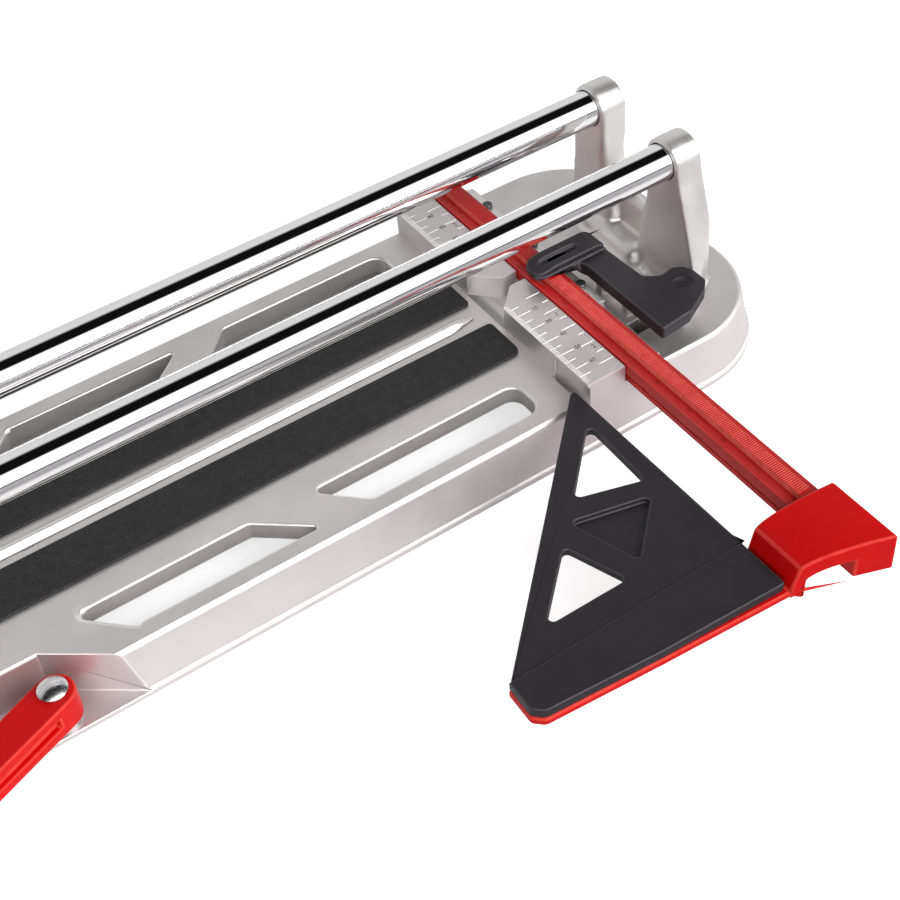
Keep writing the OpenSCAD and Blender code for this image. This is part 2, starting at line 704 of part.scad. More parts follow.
module end_cap() {
    top = [for (a = [0:10:90]) [cap_x1 - 1 - 33.5 * cos(a), bar_top - 2 + 7.6 * sin(a)]];
    under = [for (a = [80:-20:0]) [cap_x1 - 14 - 17.6 * cos(a), bar_top - 9 + 5.8 * sin(a)]];
    color("crimson") difference() {
        union() {
            intersection() {
                along_y(cap_out_y[1] - 5, cap_in_y[0] + 5) polygon(concat(
                    [[cap_x0, strip_z], [cap_x0, strip_z + 5]], top,
                    [[cap_x1, bar_top + 5.2], [cap_x1, bar_z - 6.5], [block_x, bar_z - 6.5],
                    [block_x, bar_top - 3.2]], under, [[cap_x0 + 4, strip_z]]));
                linear_extrude(80) polygon([[cap_x0, cap_in_y[0]], [cap_x1, cap_in_y[1]],
                    [cap_x1, cap_out_y[1]], [cap_x0, cap_out_y[0]]]);
            }
            under_plate();
        }
        translate([bar_x, bar_in - bar_l, bar_z]) cube([bar_w, bar_l, bar_top - bar_z]);
        translate([bar_x + 3.6, bar_in - bar_l, bar_z - 5.9]) cube([bar_w - 7.2, bar_l, 8]);
        translate([bar_x + 1.6, bar_in - bar_l, bar_z - 5.9]) cube([bar_w - 3.2, bar_l, 2.4]);
        translate([bar_x + 4.6, bar_in - bar_l, bar_z]) cube([bar_w - 8.6, bar_l, rib_top - bar_z]);
        translate([bar_x + bar_w / 2, cap_screw_y, 0]) cylinder(d = 3, h = bar_z + 5);
        for (p = square_screw_at) translate([p[0], p[1], strip_z - 1]) cylinder(d = 3, h = 10);
    }
}

// Set square: 45 degree plate with two windows, a recess and a thick outer strip.
module set_square() {
    sx = square_x;
    sy = square_y;
    leg = square_leg;
    plate = [[sx, sy], [sx, strip_y - 2], [sx - leg - 1, strip_y - 2], [sx - leg - 1, strip_y]];
    outer = [[sx - leg - 1.5, strip_y], [sx - leg - 2, strip_y - 13],
        [sx - leg + 2, strip_y - 16.7], [sx - 54, strip_y - 20.9], [sx, strip_y - 23.6],
        [sx, strip_y]];
    top_window = [[sx - 7, sy - 19.7], [sx - 35.5, sy - 48.3], [sx - 8, sy - 57]];
    low_window = [[sx - 53, sy - 65], [sx - 80, sy - 90.7], [sx - 43.5, sy - 91]];
    recess = [[sx - 44.2, sy - 56.5], [sx - 34.2, sy - 87], [sx - 11.3, sy - 64.8]];
    color("#29292d") difference() {
        union() {
            translate([0, 0, square_z]) linear_extrude(square_t - 0.8)
                polygon(rounded(plate, [1.5, 0.5, 0.5, 0.5]));
            translate([0, 0, square_z]) linear_extrude(square_t)
                polygon(rounded(outer, [0.5, 3, 4, 60, 1, 0.5]));
        }
        translate([0, 0, square_z - 1]) linear_extrude(10) polygon(rounded(top_window, [2, 2, 2]));
        translate([0, 0, square_z - 1]) linear_extrude(10) polygon(rounded(low_window, [2, 2, 2]));
        translate([0, 0, square_z + 1.2]) linear_extrude(10) polygon(rounded(recess, [2, 2, 2]));
        for (p = square_screw_at) translate([p[0], p[1], square_z - 1]) cylinder(d = 3, h = 3.6);
    }
}

// Screw into the cap's solid end block, standing in for the fixing of the bar.
module cap_screws() {
    color("dimgray") translate([bar_x + bar_w / 2, cap_screw_y, 0]) {
        translate([0, 0, bar_z - 8.3]) cylinder(d = 6, h = 1.8);
        translate([0, 0, bar_z - 6.5]) cylinder(d = 3, h = 9);
    }
}

module square_screws() {
    color("dimgray") for (p = square_screw_at) translate([p[0], p[1], strip_z - 1.6]) {
        cylinder(d = 6, h = 1.6);
        cylinder(d = 3, h = 8);
    }
}

// Lock lever: a rocker on a cross pin, with a finger on the rack and a thumb paddle.
finger_y = [-13.8, -1.6];
finger_mid = -7.7;
module lock_lever() {
    z0 = lever_z - 2.4;
    arm_top = lever_z + 4;
    finger_top = lever_z + 7.6;
    body = [[315.5, finger_y[1]], [315.5, finger_y[0]], [337, finger_y[0] - 0.6], [338.2, -18],
        [338.2, -69.3], [353.5, -67.8], [368, -60], [371.4, -56.5], [371.4, -48.5], [369, -43],
        [365.5, -41.3], [358.5, -42.4], [352.6, -38], [351.4, -14], [350.6, finger_y[1]]];
    arm_hollow = [[340, -17], [340, -50], [350.5, -50], [350.5, -17]];
    color("#232326") difference() {
        union() {
            translate([0, 0, z0]) linear_extrude(arm_top - z0)
                polygon(rounded(body, [5, 5, 0, 0, 1, 3, 6, 3, 3, 3, 2, 4, 4, 0, 3]));
            translate([0, 0, z0]) linear_extrude(finger_top - z0)
                polygon(rounded([[315.5, finger_y[1]], [315.5, finger_y[0]],
                    [350.8, finger_y[0]], [350.6, finger_y[1]]], [5, 5, 0, 3]));
        }
        // Step under the finger that clears the rack and the keeper
        along_y(-30, 10) polygon([[300, z0 - 1], [300, rib_top + 0.5], [333, rib_top + 0.5],
            [338, z0 - 1]]);
        // Slopes on top of the finger's tip and end
        along_y(-16, 10) polygon([[300, finger_top - 3], [316, finger_top - 1.6],
            [325, finger_top], [325, finger_top + 5], [300, finger_top + 5]]);
        along_y(-16, 10) polygon([[360, arm_top + 1], [346, finger_top],
            [346, finger_top + 5], [360, finger_top + 5]]);
        translate([0, 0, z0 - 1]) linear_extrude(arm_top - z0 - 0.2) polygon(arm_hollow);
        translate([lever_x, 0, lever_z]) rod_y_axis(-54, -5, lever_pin_d + 2 * slide);
        translate([327.7, finger_mid, z0]) cylinder(d = 3.4, h = 40);
        translate([327.7, finger_mid, finger_top - 1.6]) linear_extrude(20)
            polygon(rounded([[-7, -1.8], [12.5, -1.8], [12.5, 1.8], [-7, 1.8]], [1.7, 1.7, 1.7, 1.7]));
    }
}

// Folding side arm: an I-section bar with a round boss at its pivot.
module side_arm(side) {
    translate([arm_x, side * arm_y, arm_z]) rotate([0, 0, -side * arm_open])
        difference() {
            linear_extrude(arm_h) union() {
                circle(d = arm_w);
                polygon(rounded([[-arm_l, -arm_w / 2 + 2], [0, -arm_w / 2], [0, arm_w / 2],
                    [-arm_l, arm_w / 2 - 2]], [6, 0, 0, 6]));
            }
            translate([0, 0, -1]) cylinder(d = rivet_d + 2 * slide, h = arm_h + 2);
            for (k = [0, 1]) mirror([0, k, 0]) translate([-arm_l + 16, arm_w / 2 - 3.5, 4.6])
                cube([arm_l - 22, 6, arm_h - 9.2]);
        }
}

module arm_pad(side) {
    translate([arm_x, side * arm_y, arm_z + arm_h]) rotate([0, 0, -side * arm_open])
        linear_extrude(pad_top - arm_z - arm_h) polygon(rounded([[-arm_l + 2, -6], [-arm_l + 34, -6],
            [-arm_l + 34, 6], [-arm_l + 2, 6]], [4, 4, 4, 4]));
}

module side_arm_near() color("crimson") side_arm(-1);
module side_arm_far() color("crimson") side_arm(1);
module arm_pad_near() color("#222222") arm_pad(-1);
module arm_pad_far() color("#222222") arm_pad(1);

base_casting();
breaker_ridge();
pad_near();
pad_far();
stop_saddle();
park_saddle();
guide_rod_near();
guide_rod_far();
rod_end_screws();
saddle_bolts();
rubber_feet();
feet_screws();
bar_keeper();
keeper_screws();
lever_pin();
lever_spring();
arm_rivets();
arm_washers();
carriage_block();
slide_bushes();
rod_wipers();
carriage_cover();
cover_screws();
handle_pin();
pin_clips();
handle_lever();
handle_tube();
handle_grip();
grip_end_cap();
tube_screws();
wheel_holder();
holder_screw();
wheel_axle();
scoring_wheel();
breaker_pin();
breaker_foot();
breaker_pads();
scale_bar();
bar_rack();
end_cap();
set_square();
cap_screws();
square_screws();
lock_lever();
side_arm_near();
side_arm_far();
arm_pad_near();
arm_pad_far();
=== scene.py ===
"""Looks of the tile cutter: bevelled and detailed meshes, materials, studio light and camera."""

import json
import math

import bmesh
import bpy
from mathutils import Matrix, Vector

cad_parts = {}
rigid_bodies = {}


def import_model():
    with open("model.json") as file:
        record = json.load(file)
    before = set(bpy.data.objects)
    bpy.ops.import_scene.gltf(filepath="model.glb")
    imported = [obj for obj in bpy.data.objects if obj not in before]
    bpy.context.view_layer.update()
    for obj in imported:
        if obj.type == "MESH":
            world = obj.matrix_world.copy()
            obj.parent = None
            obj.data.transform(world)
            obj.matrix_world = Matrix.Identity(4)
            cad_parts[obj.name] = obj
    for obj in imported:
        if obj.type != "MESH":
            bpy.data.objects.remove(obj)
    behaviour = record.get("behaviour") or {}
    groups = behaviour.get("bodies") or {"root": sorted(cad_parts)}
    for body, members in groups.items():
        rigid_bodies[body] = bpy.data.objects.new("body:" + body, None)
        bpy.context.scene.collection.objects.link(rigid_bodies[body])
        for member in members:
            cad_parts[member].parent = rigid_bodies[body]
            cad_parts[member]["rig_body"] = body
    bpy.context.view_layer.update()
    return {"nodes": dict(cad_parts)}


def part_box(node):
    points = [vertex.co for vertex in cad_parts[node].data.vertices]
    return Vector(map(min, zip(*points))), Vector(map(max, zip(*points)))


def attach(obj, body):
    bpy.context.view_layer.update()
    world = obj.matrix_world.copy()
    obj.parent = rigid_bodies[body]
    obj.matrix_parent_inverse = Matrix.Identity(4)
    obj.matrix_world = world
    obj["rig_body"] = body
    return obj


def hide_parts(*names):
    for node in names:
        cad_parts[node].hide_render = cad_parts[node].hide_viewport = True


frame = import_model()
PART = frame["nodes"]
MM = 0.001


# ---------------------------------------------------------------- camera
def make_camera():
    """Camera fitted to the photo's ruler marks and the edges of the plate and rods."""
    data = bpy.data.cameras.new("camera")
    data.sensor_width = 36
    data.lens = 64.78
    data.shift_x = 0.005
    data.shift_y = -0.0867
    data.clip_start = 0.01
    data.clip_end = 60
    data.dof.use_dof = False
    cam = bpy.data.objects.new("camera", data)
    bpy.context.scene.collection.objects.link(cam)
    right = Vector((0.82912, -0.55528, -0.06508))
    up = Vector((0.42324, 0.54734, 0.72200))
    back = Vector((-0.36528, -0.62617, 0.68883))
    turn = Matrix((right, up, back)).transposed().to_4x4()
    place = Vector((0.01524, -0.44375, 0.49363))
    cam.matrix_world = Matrix.Translation(place) @ turn
    bpy.context.scene.camera = cam


make_camera()


# ---------------------------------------------------------------- materials
class Nodes:
    """Short calls for building the node tree of a material or of the world."""

    def __init__(self, owner, shader="Principled BSDF", coords="Object"):
        owner.use_nodes = True
        self.tree = owner.node_tree
        self.shader = self.tree.nodes[shader]
        self.coords = self.tree.nodes.new("ShaderNodeTexCoord").outputs[coords]

    def put(self, kind, **inputs):
        node = self.tree.nodes.new(kind)
        for key, value in inputs.items():
            self.set(node, key.replace("_", " ").title(), value)
        return node

    def set(self, node, key, value):
        if isinstance(value, bpy.types.NodeSocket):
            self.tree.links.new(value, node.inputs[key])
        else:
            node.inputs[key].default_value = value

    def stretched(self, scale):
        node = self.put("ShaderNodeMapping", vector=self.coords)
        node.inputs["Scale"].default_value = scale
        return node.outputs["Vector"]

    def noise(self, scale, detail=4.0, roughness=0.55, stretch=None):
        vector = self.stretched(stretch) if stretch else self.coords
        node = self.put("ShaderNodeTexNoise", vector=vector, scale=scale, detail=detail,
                        roughness=roughness)
        return node.outputs["Fac"]

    def spread(self, value, low, high, start=0.0, end=1.0):
        node = self.put("ShaderNodeMapRange", value=value)
        node.inputs["From Min"].default_value = start
        node.inputs["From Max"].default_value = end
        node.inputs["To Min"].default_value = low
        node.inputs["To Max"].default_value = high
        return node.outputs["Result"]

    def times(self, a, b):
        return self.combine("MULTIPLY", a, b)

    def combine(self, operation, a, b):
        node = self.tree.nodes.new("ShaderNodeMath")
        node.operation = operation
        for i, value in enumerate((a, b)):
            if isinstance(value, bpy.types.NodeSocket):
                self.tree.links.new(value, node.inputs[i])
            else:
                node.inputs[i].default_value = value
        return node.outputs["Value"]

    def mix(self, factor, a, b):
        node = self.tree.nodes.new("ShaderNodeMix")
        node.data_type = "RGBA"
        self.tree.links.new(factor, node.inputs["Factor"])
        for key, value in (("A", a), ("B", b)):
            socket = [s for s in node.inputs if s.name == key and s.type == "RGBA"][0]
            if isinstance(value, bpy.types.NodeSocket):
                self.tree.links.new(value, socket)
            else:
                socket.default_value = (*value, 1.0)
        return [s for s in node.outputs if s.type == "RGBA"][0]

    def bump(self, height, distance, normal=None):
        node = self.put("ShaderNodeBump", height=height, distance=distance)
        if normal:
            self.tree.links.new(normal, node.inputs["Normal"])
        return node.outputs["Normal"]

    def attribute(self, name):
        node = self.tree.nodes.new("ShaderNodeAttribute")
        node.attribute_name = name
        return node.outputs["Fac"]


def shade(colour, factor):
    return tuple(min(1.0, c * factor) for c in colour)


def surface(name, colour, rough, metal=0.0, mottle=0.08, mottle_scale=45.0, grain=0.00002,
            grain_scale=1600.0, wave=0.0, wave_scale=120.0, rough_spread=0.06, wear_and_highlight=None,
            wear_and_highlight_amount=0.7, speck=None, stretch=None, coat=0.0, specular=0.5):
    """A moulded, cast or painted surface with mottling, grain and edges lighter: wear and a painted
    highlight on the rounded edges.

    Grain and wave are the heights of fine and broad bumps, in metres.
    """
    material = bpy.data.materials.new(name)
    n = Nodes(material)
    cloudy = n.noise(mottle_scale, 5.0, 0.6)
    tint = n.mix(n.spread(cloudy, 0.0, 1.0, 0.3, 0.7), shade(colour, 1 - mottle),
                 shade(colour, 1 + mottle))
    if speck:
        dots = n.noise(grain_scale * 0.9, 2.0, 0.5)
        tint = n.mix(n.spread(dots, 0.0, 1.0, 0.60, 0.70), tint, speck)
    # Faces marked on the rounded edges are painted lighter: partly wear, partly a painted
    # highlight.
    if wear_and_highlight:
        edge = n.times(n.attribute("edge_wear_and_highlight"), n.spread(n.noise(260.0), 0.55, 1.0, 0.3, 0.6))
        tint = n.mix(n.times(edge, wear_and_highlight_amount), tint, wear_and_highlight)
    n.set(n.shader, "Base Color", tint)
    smudge = n.noise(mottle_scale * 2.3, 3.0, 0.5, stretch)
    n.set(n.shader, "Roughness", n.spread(smudge, rough - rough_spread, rough + rough_spread,
                                          0.3, 0.7))
    n.set(n.shader, "Metallic", metal)
    fine = n.bump(n.noise(grain_scale, 3.0, 0.6, stretch), grain)
    if wave:
        fine = n.bump(n.noise(wave_scale, 2.0, 0.5), wave, fine)
    n.set(n.shader, "Normal", fine)
    if coat:
        n.set(n.shader, "Coat Weight", coat)
        n.set(n.shader, "Coat Roughness", 0.15)
    n.set(n.shader, "Specular IOR Level", specular)
    return material


# Lighter colour of rounded metal edges: wear and a painted highlight.
METAL_WEAR_AND_HIGHLIGHT = (0.93, 0.92, 0.90)
LOOKS = {
    "cast_base": dict(colour=(0.715, 0.675, 0.678), rough=0.43, metal=0.85, mottle=0.05,
                      mottle_scale=28.0, grain=0.00003, grain_scale=1900.0, wave=0.00008,
                      wave_scale=90.0, wear_and_highlight=METAL_WEAR_AND_HIGHLIGHT),
    "cast_bright": dict(colour=(0.80, 0.775, 0.765), rough=0.40, metal=0.85, mottle=0.04,
                        mottle_scale=60.0, grain=0.00003, grain_scale=2200.0, wave=0.00004,
                        wave_scale=140.0, wear_and_highlight=METAL_WEAR_AND_HIGHLIGHT),
    "cast_saddle": dict(colour=(0.76, 0.74, 0.72), rough=0.40, metal=0.85, mottle=0.05,
                        mottle_scale=50.0, grain=0.00003, grain_scale=1900.0, wave=0.00010,
                        wave_scale=80.0, wear_and_highlight=METAL_WEAR_AND_HIGHLIGHT, stretch=(1.0, 1.0, 0.12)),
    "pad_rubber": dict(colour=(0.014, 0.013, 0.014), rough=0.72, metal=0.0, mottle=0.25,
                       mottle_scale=120.0, grain=0.00016, grain_scale=1500.0,
                       speck=(0.045, 0.043, 0.045), rough_spread=0.08),
    "feet_rubber": dict(colour=(0.018, 0.018, 0.019), rough=0.68, metal=0.0, mottle=0.2,
                        mottle_scale=120.0, grain=0.00008, grain_scale=1200.0,
                        wear_and_highlight=(0.06, 0.06, 0.062)),
    "rod_chrome": dict(colour=(0.90, 0.895, 0.90), rough=0.045, metal=1.0, mottle=0.02,
                       mottle_scale=20.0, grain=0.0000015, grain_scale=900.0, rough_spread=0.015,
                       stretch=(0.02, 1.0, 1.0)),
    "dark_steel": dict(colour=(0.10, 0.10, 0.105), rough=0.36, metal=0.9, mottle=0.15,
                       mottle_scale=300.0, grain=0.00002, grain_scale=2500.0,
                       wear_and_highlight=(0.35, 0.35, 0.36)),
    "pin_steel": dict(colour=(0.62, 0.62, 0.63), rough=0.24, metal=1.0, mottle=0.06,
                      mottle_scale=300.0, grain=0.00001, grain_scale=2500.0, wear_and_highlight=METAL_WEAR_AND_HIGHLIGHT),
    "rivet_chrome": dict(colour=(0.74, 0.74, 0.75), rough=0.24, metal=1.0, mottle=0.04,
                         mottle_scale=250.0, grain=0.000008, grain_scale=1800.0, rough_spread=0.05),
    "bush_bronze": dict(colour=(0.50, 0.31, 0.12), rough=0.34, metal=1.0, mottle=0.12,
                        mottle_scale=220.0, grain=0.00002, grain_scale=2600.0,
                        wear_and_highlight=(0.75, 0.55, 0.30)),
    "carriage_paint": dict(colour=(0.040, 0.042, 0.047), rough=0.42, metal=0.0, mottle=0.12,
                           mottle_scale=60.0, grain=0.00006, grain_scale=1300.0, wave=0.00005,
                           wave_scale=160.0, wear_and_highlight=(0.20, 0.20, 0.21), coat=0.15),
    "red_plastic": dict(colour=(0.56, 0.003, 0.003), rough=0.33, metal=0.0, mottle=0.07,
                        mottle_scale=60.0, grain=0.00002, grain_scale=1800.0, wave=0.00005,
                        wave_scale=110.0, wear_and_highlight=(0.86, 0.10, 0.07), wear_and_highlight_amount=0.45, specular=0.14),
    "rack_red": dict(colour=(0.52, 0.008, 0.008), rough=0.42, metal=0.0, mottle=0.10,
                     mottle_scale=160.0, grain=0.00002, grain_scale=2200.0, wear_and_highlight=(0.86, 0.16, 0.12),
                     wear_and_highlight_amount=1.0, specular=0.3),
    "lever_alloy": dict(colour=(0.62, 0.62, 0.63), rough=0.38, metal=0.9, mottle=0.06,
                        mottle_scale=50.0, grain=0.00003, grain_scale=1900.0, wave=0.00006,
                        wave_scale=100.0, wear_and_highlight=METAL_WEAR_AND_HIGHLIGHT),
    "tube_chrome": dict(colour=(0.86, 0.86, 0.87), rough=0.08, metal=1.0, mottle=0.02,
                        mottle_scale=40.0, grain=0.000003, grain_scale=900.0, rough_spread=0.03),
    "grip_rubber": dict(colour=(0.020, 0.020, 0.022), rough=0.62, metal=0.0, mottle=0.2,
                        mottle_scale=90.0, grain=0.00010, grain_scale=1100.0,
                        wear_and_highlight=(0.07, 0.07, 0.075)),
    "holder_steel": dict(colour=(0.30, 0.30, 0.31), rough=0.33, metal=1.0, mottle=0.10,
                         mottle_scale=200.0, grain=0.00002, grain_scale=2600.0,
                         wear_and_highlight=(0.65, 0.65, 0.66)),
    "carbide": dict(colour=(0.36, 0.36, 0.38), rough=0.22, metal=1.0, mottle=0.06,
                    mottle_scale=500.0, grain=0.000008, grain_scale=3000.0,
                    wear_and_highlight=(0.85, 0.85, 0.86)),
    "foot_paint": dict(colour=(0.036, 0.038, 0.043), rough=0.45, metal=0.0, mottle=0.12,
                       mottle_scale=70.0, grain=0.00006, grain_scale=1300.0, wave=0.00005,
                       wave_scale=150.0, wear_and_highlight=(0.18, 0.18, 0.19)),
    "black_plastic": dict(colour=(0.017, 0.0145, 0.018), rough=0.47, metal=0.0, mottle=0.12,
                          mottle_scale=80.0, grain=0.00003, grain_scale=2400.0,
                          wear_and_highlight=(0.10, 0.095, 0.12), wear_and_highlight_amount=0.5, specular=0.4),
    "bar_red": dict(colour=(0.48, 0.016, 0.016), rough=0.33, metal=0.0, mottle=0.12,
                    mottle_scale=90.0, grain=0.00002, grain_scale=1900.0, wave=0.00004,
                    wave_scale=200.0, wear_and_highlight=(0.80, 0.08, 0.06), specular=0.3),
    "bar_ink": dict(colour=(0.20, 0.006, 0.008), rough=0.5, metal=0.0, mottle=0.1,
                    mottle_scale=400.0),
    # Colour of the rim line: painted shade in the crease of the base.
    "crease_shade": dict(colour=(0.13, 0.125, 0.13), rough=0.6, metal=0.2, mottle=0.15,
                 mottle_scale=200.0),
    "mark_ink": dict(colour=(0.17, 0.16, 0.155), rough=0.55, metal=0.3, mottle=0.2,
                     mottle_scale=500.0),
}
MATERIALS = {name: surface(name, **look) for name, look in LOOKS.items()}


# ---------------------------------------------------------------- meshes
# The first three are in metres and radians, the rest in millimetres.
WELD = 1e-6
FLAT = math.radians(0.6)
SHORTEST_EDGE = 2e-5
PLATE_TOP = 28.0
RULER_FOOT_X = (290, 320)


def clean(node):
    """The CAD node's solid as one welded mesh with flat faces joined."""
    bm = bmesh.new()
    bm.from_mesh(PART[node].data)
    bmesh.ops.remove_doubles(bm, verts=bm.verts, dist=WELD)
    bmesh.ops.dissolve_limit(bm, angle_limit=FLAT, verts=bm.verts, edges=bm.edges)
    return bm


def bevel(bm, width, segments=2, test=None, angle=28.0):
    """Rounds the sharp edges whose two ends pass the test, given in millimetres."""
    worn_and_highlit = bm.faces.layers.int.get("worn_and_highlit") or bm.faces.layers.int.new("worn_and_highlit")
    limit = math.radians(angle)
    edges = []
    for e in bm.edges:
        if len(e.link_faces) != 2 or any(f[worn_and_highlit] for f in e.link_faces):
            continue
        if e.calc_face_angle(0.0) < limit or e.calc_length() < SHORTEST_EDGE:
            continue
        if test is None or all(test(*(v.co / MM)) for v in e.verts):
            edges.append(e)
    if not edges:
        return
    made = bmesh.ops.bevel(bm, geom=edges, offset=width * MM, offset_type="OFFSET",
                           segments=segments, profile=0.5, affect="EDGES",
                           clamp_overlap=False, loop_slide=True)
    # The new faces of the rounding are marked; the materials paint them lighter, wear and a painted
    # highlight.
    for f in made["faces"]:
        f[worn_and_highlit] = 1


def finish_mesh(name, bm, material, body, nodes=(), smooth=50.0):
    """Turns bm into a shown piece that rides body and stands for the given nodes."""
    worn_and_highlit = bm.faces.layers.int.get("worn_and_highlit")
    marks = [f[worn_and_highlit] if worn_and_highlit else 0 for f in bm.faces]
    mesh = bpy.data.meshes.new(name)
    bm.to_mesh(mesh)
    bm.free()
    # The marks go to the materials, which paint these faces lighter: wear and a painted highlight.
    layer = mesh.attributes.new("edge_wear_and_highlight", "FLOAT", "CORNER")
    for face, mark in zip(mesh.polygons, marks):
        for i in face.loop_indices:
            layer.data[i].value = float(mark)
    mesh.materials.append(material)
    mesh.shade_smooth()
    mesh.set_sharp_from_angle(angle=math.radians(smooth))
    obj = bpy.data.objects.new(name, mesh)
    bpy.context.scene.collection.objects.link(obj)
    weighted = obj.modifiers.new("normals", "WEIGHTED_NORMAL")
    weighted.keep_sharp = True
    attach(obj, body)
    if nodes:
        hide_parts(*nodes)
    return obj


def refined(node, passes, material=None, smooth=50.0, narrow=1.0):
    """A bevelled copy of a CAD node. Each pass is (width in millimetres, segments, test)."""
    bm = clean(node)
    for v in bm.verts:
        v.co.y *= narrow
    for width, segments, test in passes:
        bevel(bm, width, segments, test)
    slot = PART[node].data.materials[0].name
    return finish_mesh(node + "_shape", bm, material or MATERIALS[slot],
                       PART[node]["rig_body"], (node,), smooth)


def on_plate_top(z):
    return abs(z - PLATE_TOP) < 0.1


def on_pocket(x, y, z):
    """Upper edges of the pockets for the side arms."""
    return on_plate_top(z) and abs(x) < 102 and abs(y) < 69


def on_slots(x, y, z):
    """Upper edges of the long openings on both sides of the pads."""
    return on_plate_top(z) and 70 < abs(x) < 283 and 42 < abs(y) < 64


def on_edges(x, y, z):
    """Every edge but the lowest and those at the foot of the ruler block."""
    start, end = RULER_FOOT_X
    return z > 5 and not (start < x < end and z < PLATE_TOP + 1)


def above_plate(x, y, z):
    return z > PLATE_TOP + 1


refined("base_casting", [(2.4, 4, on_pocket), (1.1, 4, on_slots), (0.45, 2, on_edges)],
        smooth=27.0)
refined("breaker_ridge", [(0.5, 2, None)], narrow=0.72)
for side in ("near", "far"):
    refined("pad_" + side, [(0.5, 2, above_plate)])


def rim_line():
    """Fine dark strip where the skirt meets the rim of the base: painted shade in the crease."""
    crease, height, sink, lift = 7.5, 0.45, 0.1, 0.05
    base = clean("base_casting")
    line = bmesh.new()
    for e in base.edges:
        if any(abs(v.co.z / MM - crease) > 0.02 for v in e.verts) or len(e.link_faces) != 2:
            continue
        skirt = max(e.link_faces, key=lambda f: f.calc_center_median().z)
        out = skirt.normal
        if out.z < 0.02 or out.z > 0.5 or skirt.calc_center_median().z < crease * MM:
            continue
        a, b = (v.co.copy() for v in e.verts)
        up = out.cross(b - a).normalized()
        up = up if up.z > 0 else -up
        inner, outer = -out * sink * MM, (out * lift + up * height) * MM
        corners = [a + inner, b + inner, b + outer, a + outer]
        line.faces.new([line.verts.new(c) for c in corners])
    base.free()
    finish_mesh("rim_line", line, MATERIALS["crease_shade"], "base")


rim_line()


def mesh_object(name, bm):
    mesh = bpy.data.meshes.new(name)
    bm.to_mesh(mesh)
    bm.free()
    obj = bpy.data.objects.new(name, mesh)
    bpy.context.scene.collection.objects.link(obj)
    return obj


def shaped(obj, *helpers):
    """The object's mesh after its modifiers; the object and its helpers are removed."""
    bpy.context.view_layer.update()
    bm = bmesh.new()
    bm.from_mesh(obj.evaluated_get(bpy.context.evaluated_depsgraph_get()).to_mesh())
    for o in (obj, *helpers):
        bpy.data.objects.remove(o)
    return bm


def boolean(obj, other, operation):
    step = obj.modifiers.new(operation, "BOOLEAN")
    step.operation = operation
    step.solver = "EXACT"
    step.object = other


def bars_x(x0, x1, radius):
    """Round bars along X in the rods' places, in millimetres."""
    bm = bmesh.new()
    for y, z in ROD_PLACES:
        turn = (Matrix.Translation(Vector(((x0 + x1) / 2, y, z)) * MM)
                @ Matrix.Rotation(math.pi / 2, 4, "Y"))
        bmesh.ops.create_cone(bm, cap_ends=True, segments=96, radius1=radius * MM,
                              radius2=radius * MM, depth=(x1 - x0) * MM, matrix=turn)
    return bm


def slab(x0, x1, y0, y1, z0, z1):
    """A box between the given limits, in millimetres."""
    bm = bmesh.new()
    size = Vector((x1 - x0, y1 - y0, z1 - z0)) * MM
    centre = Vector((x0 + x1, y0 + y1, z0 + z1)) * MM / 2
    bmesh.ops.create_cube(bm, size=1.0,
                          matrix=Matrix.Translation(centre) @ Matrix.Diagonal((*size, 1.0)))
    return bm


ROD_PLACES = ((-25.0, 88.0), (25.0, 88.0))
ROD_HOLE = 8.4
PLUG_X, BORE_X, SKIN_X, SKIN_Y = (371.6, 385.6), (368.0, 383.6), (361.0, 393.0), (-58, 48)
SKIN_DEPTH = 4
VOXEL = 0.8
# Half width and top of the part of the web that is softened in each round.
WEB_ROUNDS = ((24, 74), (20, 70), (17, 66), (15, 64))


def saddle(node, sign):
    """A saddle as one casting: rounded edges, and fillets where it meets the plate.

    Its bores are plugged and a skin of the plate is joined on, the whole is remeshed and
    softened, and then the skin is cut away and the bores are opened again.
    """
    def mirrored(x):
        return sorted(sign * end for end in x)

    blank = mesh_object("blank", clean(node))
    plugs = mesh_object("plugs", bars_x(*mirrored(PLUG_X), ROD_HOLE))
    skin = mesh_object("skin", slab(*mirrored(SKIN_X), *SKIN_Y, PLATE_TOP - SKIN_DEPTH, PLATE_TOP))
    boolean(blank, plugs, "UNION")
    boolean(blank, skin, "UNION")
    remesh = blank.modifiers.new("voxels", "REMESH")
    remesh.mode = "VOXEL"
    remesh.voxel_size = VOXEL * MM
    soften = blank.modifiers.new("soften", "SMOOTH")
    soften.factor = 0.6
    soften.iterations = 9
    cast = shaped(blank, plugs, skin)
    for reach, top in WEB_ROUNDS:
        web = [v for v in cast.verts if abs(v.co.y) < reach * MM
               and PLATE_TOP - 3 < v.co.z / MM < top and not v.is_boundary]
        for _ in range(14):
            bmesh.ops.smooth_vert(cast, verts=web, factor=0.5, use_axis_x=True,
                                  use_axis_y=True, use_axis_z=True)
    # The cut is just above the plate, and the rim that it leaves is sunk just below.
    cut = bmesh.ops.bisect_plane(cast, geom=cast.verts[:] + cast.edges[:] + cast.faces[:],
                                 plane_co=(0, 0, (PLATE_TOP + 0.06) * MM),
                                 plane_no=(0, 0, 1), clear_inner=True)
    rim = [e for e in cut["geom_cut"] if isinstance(e, bmesh.types.BMEdge)]
    filled = bmesh.ops.holes_fill(cast, edges=rim, sides=0)
    for f in filled["faces"]:
        for v in f.verts:
            v.co.z = (PLATE_TOP - 0.1) * MM
    casting = mesh_object("cast", cast)
    bores = mesh_object("bores", bars_x(*mirrored(BORE_X), ROD_HOLE))
    boolean(casting, bores, "DIFFERENCE")
    finish_mesh(node + "_shape", shaped(casting, bores), MATERIALS["cast_saddle"], "base",
                (node,), 40)


